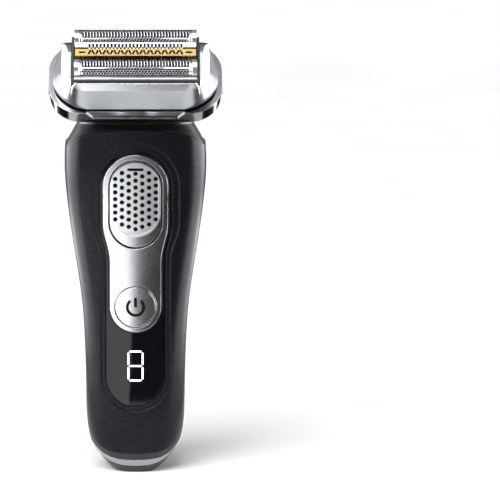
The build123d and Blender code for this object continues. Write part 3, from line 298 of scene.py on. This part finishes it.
def metal(name, colour, roughness, grain, stretch=(1, 1, 1), edge=0.1 * MM, slope=0.015):
    """Metal with a fine grain, whose bumps have a slope."""
    finish = Finish(name, colour, 1.0, roughness)
    finish.mottle(METAL_MOTTLE_SIZE * grain, METAL_MOTTLE_SHARE)
    finish.wear(METAL_WEAR_SIZE * grain, METAL_WEAR_SHARE, stretch)
    finish.relief(grain, slope * grain, stretch, edge)
    return finish.material


def plastic(name, colour, roughness, grain, depth=0.012 * MM, edge=0.12 * MM, coat=0.0, shine=0.5):
    """Moulded plastic or rubber with a fine grain."""
    finish = Finish(name, colour, 0.0, roughness)
    finish.mottle(PLASTIC_MOTTLE_SIZE * grain, PLASTIC_MOTTLE_SHARE)
    finish.wear(PLASTIC_WEAR_SIZE * grain, PLASTIC_WEAR_SHARE)
    finish.relief(grain, depth, edge=edge)
    finish.set("Coat Weight", coat).set("Coat Roughness", COAT_ROUGHNESS).set("Specular IOR Level", shine)
    return finish.material


shell = Finish("shell_paint", (0.0025, 0.0031, 0.0045), 0.5, 0.3)
shell.flakes(0.14 * MM, (0.026, 0.029, 0.037), 0.55).wear(9 * MM, 0.1)
shell.relief(0.25 * MM, 0.004 * MM, edge=0.9 * MM)
shell.set("Specular IOR Level", 0.25)

panel = Finish("gloss_black", (0.003, 0.0035, 0.005), 0.0, 0.06)
panel.mottle(8 * MM, 0.1).wear(20 * MM, 0.1).relief(4 * MM, 0.002 * MM, edge=1.0 * MM)
panel.set("Specular IOR Level", 0.35)

looks = {
    "shell_paint": shell.material,
    "back_plastic": plastic("back_plastic", (0.02, 0.019, 0.021), 0.42, 0.3 * MM),
    "dark_rubber": plastic("dark_rubber", (0.013, 0.011, 0.011), 0.62, 0.25 * MM),
    "grip_rubber": plastic("grip_rubber", (0.024, 0.024, 0.027), 0.7, 0.5 * MM, 0.03 * MM),
    "gloss_black": panel.material,
    "satin_silver": metal("satin_silver", (0.62, 0.63, 0.65), 0.2, 0.08 * MM, edge=0.3 * MM, slope=0.003),
    "button_silver": metal("button_silver", (0.66, 0.67, 0.69), 0.2, 0.08 * MM, edge=0.3 * MM, slope=0.003),
    "slider_silver": metal("slider_silver", (0.8, 0.81, 0.83), 0.3, 0.08 * MM, edge=0.12 * MM),
    "pad_black": plastic("pad_black", (0.004, 0.004, 0.004), 0.6, 0.2 * MM, shine=0.1),
    "chrome": metal("chrome", (0.3, 0.312, 0.33), 0.14, 0.3 * MM, edge=0.3 * MM, slope=0.005),
    "frame_silver": metal("frame_silver", (0.44, 0.452, 0.47), 0.25, 0.3 * MM, (0.03, 1, 1), 0.5 * MM),
    "holder_silver": metal("holder_silver", (0.6, 0.61, 0.62), 0.3, 0.08 * MM),
    "steel": metal("steel", (0.55, 0.55, 0.56), 0.3, 0.1 * MM),
    "foil_steel": metal("foil_steel", (0.42, 0.43, 0.445), 0.22, 0.1 * MM, edge=0),
    "guard_steel": metal("guard_steel", (0.62, 0.63, 0.65), 0.28, 0.1 * MM, (0.2, 1, 1)),
    # blade_steel is near black: painted shade, the cutters under the foils are darkened so the head's inside reads
    # dark
    "blade_steel": metal("blade_steel", (0.03, 0.03, 0.032), 0.4, 0.08 * MM, (1, 0.3, 0.3), 0),
    "cell_steel": metal("cell_steel", (0.4, 0.42, 0.45), 0.35, 0.2 * MM),
    "gold": metal("gold", (0.42, 0.3, 0.12), 0.27, 0.1 * MM, (0.2, 1, 1)),
    "contact_brass": metal("contact_brass", (0.75, 0.6, 0.28), 0.22, 0.1 * MM),
    "dark_plastic": plastic("dark_plastic", (0.012, 0.01, 0.01), 0.4, 0.25 * MM, edge=0.4 * MM),
    "trimmer_plastic": plastic("trimmer_plastic", (0.03, 0.03, 0.032), 0.4, 0.25 * MM),
    "drum_black": plastic("drum_black", (0.012, 0.012, 0.013), 0.5, 0.25 * MM),
    # seat_black is dark plastic, darkened further to near black as painted shade, so the gap between the foil
    # frame and the ring reads dark
    "seat_black": plastic("seat_black", (0.004, 0.004, 0.005), 0.7, 0.25 * MM),
    "carrier_black": plastic("carrier_black", (0.006, 0.006, 0.007), 0.5, 0.2 * MM),
    "release_grey": plastic("release_grey", (0.02, 0.02, 0.022), 0.4, 0.2 * MM),
    "drive_white": plastic("drive_white", (0.7, 0.7, 0.67), 0.45, 0.3 * MM),
    "chassis_plastic": plastic("chassis_plastic", (0.1, 0.1, 0.11), 0.55, 0.3 * MM),
    "board_green": plastic("board_green", (0.02, 0.12, 0.05), 0.35, 0.4 * MM, coat=0.3),
    "switch_black": plastic("switch_black", (0.04, 0.04, 0.04), 0.5, 0.2 * MM),
    "display_white": plastic("display_white", (0.7, 0.7, 0.72), 0.4, 0.3 * MM),
    "socket_black": plastic("socket_black", (0.02, 0.02, 0.02), 0.5, 0.2 * MM),
    "core_iron": metal("core_iron", (0.2, 0.2, 0.21), 0.5, 0.3 * MM),
    "coil_copper": metal("coil_copper", (0.55, 0.24, 0.1), 0.35, 0.2 * MM, (0.1, 1, 1)),
}
ink = plastic("ink_black", (0.004, 0.004, 0.004), 0.4, 0.1 * MM, edge=0, shine=0.1)
glow = Finish("display_light", (0.9, 0.92, 1.0), 0.0, 0.4).mottle(2 * MM, 0.05)
glow.set("Emission Color", (0.9, 0.95, 1.0, 1)).set("Emission Strength", 1.6)
pale = Finish("floor_pale", (0.96, 0.96, 0.96), 0.0, 0.6).mottle(0.3, 0.01).wear(0.1, 0.1)
floor.data.materials.append(pale.material)
card_black = plastic("card_black", (0.004, 0.004, 0.004), 0.8, 5 * MM, edge=0, shine=0)
for card in cards:
    card.data.materials.append(card_black)

for subpart in frame["record"]["subparts"]:
    node = nodes[subpart["node"]]
    for material_slot in node.material_slots:
        material_slot.material = looks[subpart["material_slot"]]


# Pieces laid on the handle's front.
INLAY_THICK = 0.06 * MM
INLAY_WELD = 0.001 * MM
TIP_SHARE = 0.3  # of a strip's width, at the ends of a pointed strip


def on_front(node, x, z, proud):
    """Point on a node's front face, raised a little."""
    hit, point, _, _ = nodes[node].ray_cast(Vector((x, -1, z)), Vector((0, 1, 0)))
    if not hit:
        raise ValueError(f"nothing of {node} at {x}, {z}")
    return Vector((x, point.y - proud, z))


def inlay(name, patches, node, body, material):
    """Thin piece on a node's front, made of four-sided patches given in x and z."""
    mesh = bpy.data.meshes.new(name)
    work = bmesh.new()
    for patch in patches:
        work.faces.new([work.verts.new(on_front(node, x, z, INLAY_THICK / 2)) for x, z in patch])
    bmesh.ops.remove_doubles(work, verts=work.verts, dist=INLAY_WELD)
    bmesh.ops.recalc_face_normals(work, faces=work.faces)
    work.to_mesh(mesh)
    work.free()
    piece = bpy.data.objects.new(name, mesh)
    bpy.context.scene.collection.objects.link(piece)
    mesh.materials.append(material)
    solid = piece.modifiers.new("thickness", "SOLIDIFY")
    solid.thickness = INLAY_THICK
    solid.offset = 0
    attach(piece, body)


def arc_patches(x, z, radius, width, start, end, steps):
    """Patches along part of a ring; angles in degrees from straight up, clockwise."""
    patches = []
    for i in range(steps):
        corners = []
        for step, rim in ((i, -1), (i, 1), (i + 1, 1), (i + 1, -1)):
            turn = math.radians(start + (end - start) * step / steps)
            reach = radius + rim * width / 2
            corners.append((x + reach * math.sin(turn), z + reach * math.cos(turn)))
        patches.append(corners)
    return patches


def strip_patches(start, end, width, steps, tip=0.0):
    """Patches along a straight strip whose ends come to a point over a length."""
    along = Vector(end) - Vector(start)
    side = Vector((-along.y, along.x)).normalized() * width / 2
    cuts = [0.0, tip / along.length] if tip else [0.0]
    cuts += [cuts[-1] + (1 - 2 * cuts[-1]) * (i + 1) / steps for i in range(steps)]
    if tip:
        cuts.append(1.0)
    halves = [TIP_SHARE if tip and i in (0, len(cuts) - 1) else 1.0 for i in range(len(cuts))]
    points = [Vector(start) + along * cut for cut in cuts]
    patches = []
    for i in range(len(cuts) - 1):
        low, high = side * halves[i], side * halves[i + 1]
        corners = (points[i] + low, points[i] - low, points[i + 1] - high, points[i + 1] + high)
        patches.append([tuple(corner) for corner in corners])
    return patches


button_low, button_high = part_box("power_button")
BUTTON_Z = (button_low.z + button_high.z) / 2
MARK_RADIUS = 3.0 * MM
MARK_WIDTH = 1.05 * MM
MARK_GAP = 38.0  # degrees on either side of the stroke
MARK_STEPS = 36
STROKE_FOOT = 0.1 * MM
STROKE_TOP = 3.5 * MM
STROKE_STEPS = 3
stroke = ((0, BUTTON_Z + STROKE_FOOT), (0, BUTTON_Z + STROKE_TOP))
mark = arc_patches(0, BUTTON_Z, MARK_RADIUS, MARK_WIDTH, MARK_GAP, 360 - MARK_GAP, MARK_STEPS)
mark += strip_patches(*stroke, MARK_WIDTH, STROKE_STEPS)
inlay("power_mark", mark, "power_button", "button", ink)

# A plain seven-bar figure on the display window, all bars lit.
FIGURE_Z = 40.5 * MM
FIGURE_WIDE = 5.2 * MM
FIGURE_HIGH = 10.8 * MM
BAR_WIDTH = 0.6 * MM
BAR_GAP = 0.35 * MM
LEVEL_STEPS = 4
UPRIGHT_STEPS = 3
half_wide, half_high = FIGURE_WIDE / 2, FIGURE_HIGH / 2
figure = []
for level in (-half_high, 0, half_high):
    reach = half_wide - BAR_GAP
    ends = ((-reach, FIGURE_Z + level), (reach, FIGURE_Z + level))
    figure += strip_patches(*ends, BAR_WIDTH, LEVEL_STEPS, BAR_WIDTH / 2)
for side in (-half_wide, half_wide):
    for low, high in ((-half_high, 0), (0, half_high)):
        ends = ((side, FIGURE_Z + low + BAR_GAP), (side, FIGURE_Z + high - BAR_GAP))
        figure += strip_patches(*ends, BAR_WIDTH, UPRIGHT_STEPS, BAR_WIDTH / 2)
inlay("display_figure", figure, "control_panel", "handle", glow.material)

# Fine foils, in the head's own frame: across, towards the rear and up through the foils.
up = Vector(joints["cassette_lift"]["axis"]).normalized()
rear = up.cross(Vector((1, 0, 0)))
COLUMNS = 36
HOLE_ROWS = 4
HOLE_SPAN = (0.35 * MM, 3.5 * MM)  # along the arch, from its front foot
HOLE_OPEN = (0.84, 0.84)  # share of a cell, across and along the arch
HOLE_CORNER = 0.5  # share of an opening's half width, where its corners are cut
SLOT_ROWS = 2
SLOT_SPAN = (3.7 * MM, 9.3 * MM)
SLOT_OPEN = (0.64, 0.95)
SLOT_CORNER = 0.8
FOIL_SKIN = 0.08 * MM
FOIL_WELD = 0.002 * MM
EDGE_MARGIN = 0.9 * MM
STRIP_STEPS = 2
ARCH_STEPS = 24
BACK_STEPS = 6


def extents(node):
    """Lowest and highest place of a node's points across, towards the rear and up."""
    points = [vertex.co for vertex in nodes[node].data.vertices]
    across = [point.x for point in points]
    back = [point.dot(rear) for point in points]
    high = [point.dot(up) for point in points]
    return (min(across), max(across)), (min(back), max(back)), (min(high), max(high))


def fine_foil(name, node, body):
    """Arched sheet with staggered holes at the front and long slots over the top."""
    (left, right), (front, back), (foot, top) = extents(node)
    radius = (back - front) / 2
    middle = (back + front) / 2
    centre = top - radius
    mesh = bpy.data.meshes.new(name)
    work = bmesh.new()

    def point(x, s):
        """Point at a length along the arch from its front foot; before and past it are the legs."""
        length = math.pi * radius
        if s < 0 or s > length:
            d = front if s < 0 else back
            n = centre + s if s < 0 else centre - (s - length)
        else:
            turn = s / radius
            d = middle - radius * math.cos(turn)
            n = centre + radius * math.sin(turn)
        return work.verts.new(Vector((x, 0, 0)) + rear * d + up * n)

    def plain(x0, x1, s0, s1, steps):
        """Closed sheet between two places along the arch."""
        for i in range(steps):
            low, high = (s0 + (s1 - s0) * k / steps for k in (i, i + 1))
            work.faces.new([point(x, s) for x, s in ((x0, low), (x1, low), (x1, high), (x0, high))])

    def cell(x0, x1, s0, s1, opening, corner):
        """Piece of sheet with one eight-sided opening."""
        open_x, open_s = opening
        mid_x, mid_s = (x0 + x1) / 2, (s0 + s1) / 2
        rim = [(x0, s0), (mid_x, s0), (x1, s0), (x1, mid_s), (x1, s1), (mid_x, s1), (x0, s1), (x0, mid_s)]
        hx, hs = (x1 - x0) / 2 * open_x, (s1 - s0) / 2 * open_s
        hole = [(-corner, -1), (0, -1), (corner, -1), (1, 0), (corner, 1), (0, 1), (-corner, 1), (-1, 0)]
        hole = [(mid_x + hx * a, mid_s + hs * b) for a, b in hole]
        for i in range(8):
            j = (i + 1) % 8
            work.faces.new([point(*rim[i]), point(*rim[j]), point(*hole[j]), point(*hole[i])])

    inner_left, inner_right = left + EDGE_MARGIN, right - EDGE_MARGIN
    pitch = (inner_right - inner_left) / COLUMNS
    length = math.pi * radius
    hole_low, hole_high = HOLE_SPAN
    slot_low, slot_high = SLOT_SPAN
    for x0, x1 in ((left, inner_left), (inner_right, right)):
        plain(x0, x1, foot - centre, 0, STRIP_STEPS)
        plain(x0, x1, 0, length, ARCH_STEPS)
        plain(x0, x1, length, length + centre - foot, STRIP_STEPS)
    plain(inner_left, inner_right, foot - centre, 0, STRIP_STEPS)
    plain(inner_left, inner_right, 0, hole_low, STRIP_STEPS)
    plain(inner_left, inner_right, hole_high, slot_low, STRIP_STEPS)
    plain(inner_left, inner_right, slot_high, length, BACK_STEPS)
    plain(inner_left, inner_right, length, length + centre - foot, STRIP_STEPS)
    for row in range(HOLE_ROWS):
        low, high = (hole_low + (hole_high - hole_low) * k / HOLE_ROWS for k in (row, row + 1))
        shift = pitch / 2 * (row % 2)
        for column in range(COLUMNS - row % 2):
            x = inner_left + shift + column * pitch
            cell(x, x + pitch, low, high, HOLE_OPEN, HOLE_CORNER)
        if shift:
            plain(inner_left, inner_left + shift, low, high, 1)
            plain(inner_right - shift, inner_right, low, high, 1)
    for row in range(SLOT_ROWS):
        low, high = (slot_low + (slot_high - slot_low) * k / SLOT_ROWS for k in (row, row + 1))
        for column in range(COLUMNS):
            x = inner_left + column * pitch
            cell(x, x + pitch, low, high, SLOT_OPEN, SLOT_CORNER)
    bmesh.ops.remove_doubles(work, verts=work.verts, dist=FOIL_WELD)
    bmesh.ops.recalc_face_normals(work, faces=work.faces)
    work.to_mesh(mesh)
    work.free()
    mesh.materials.append(looks["foil_steel"])
    mesh.shade_smooth()
    piece = bpy.data.objects.new(name, mesh)
    bpy.context.scene.collection.objects.link(piece)
    solid = piece.modifiers.new("thickness", "SOLIDIFY")
    solid.thickness = FOIL_SKIN
    solid.offset = -1
    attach(piece, body)
    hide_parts(node)


fine_foil("front_foil_mesh", "front_foil", "front_foil")
fine_foil("rear_foil_mesh", "rear_foil", "rear_foil")


def soft_springs(node):
    """Copy of a pair of springs, carried with the cassette, standing in for the imported one."""
    piece = bpy.data.objects.new(f"{node}_soft", nodes[node].data.copy())
    bpy.context.scene.collection.objects.link(piece)
    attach(piece, "cassette")
    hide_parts(node)
    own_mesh(piece)


for float_joint in frame["record"]["behaviour"]["joints"]:
    for springs in float_joint.get("deforming_nodes", ()):
        soft_springs(springs["node"])
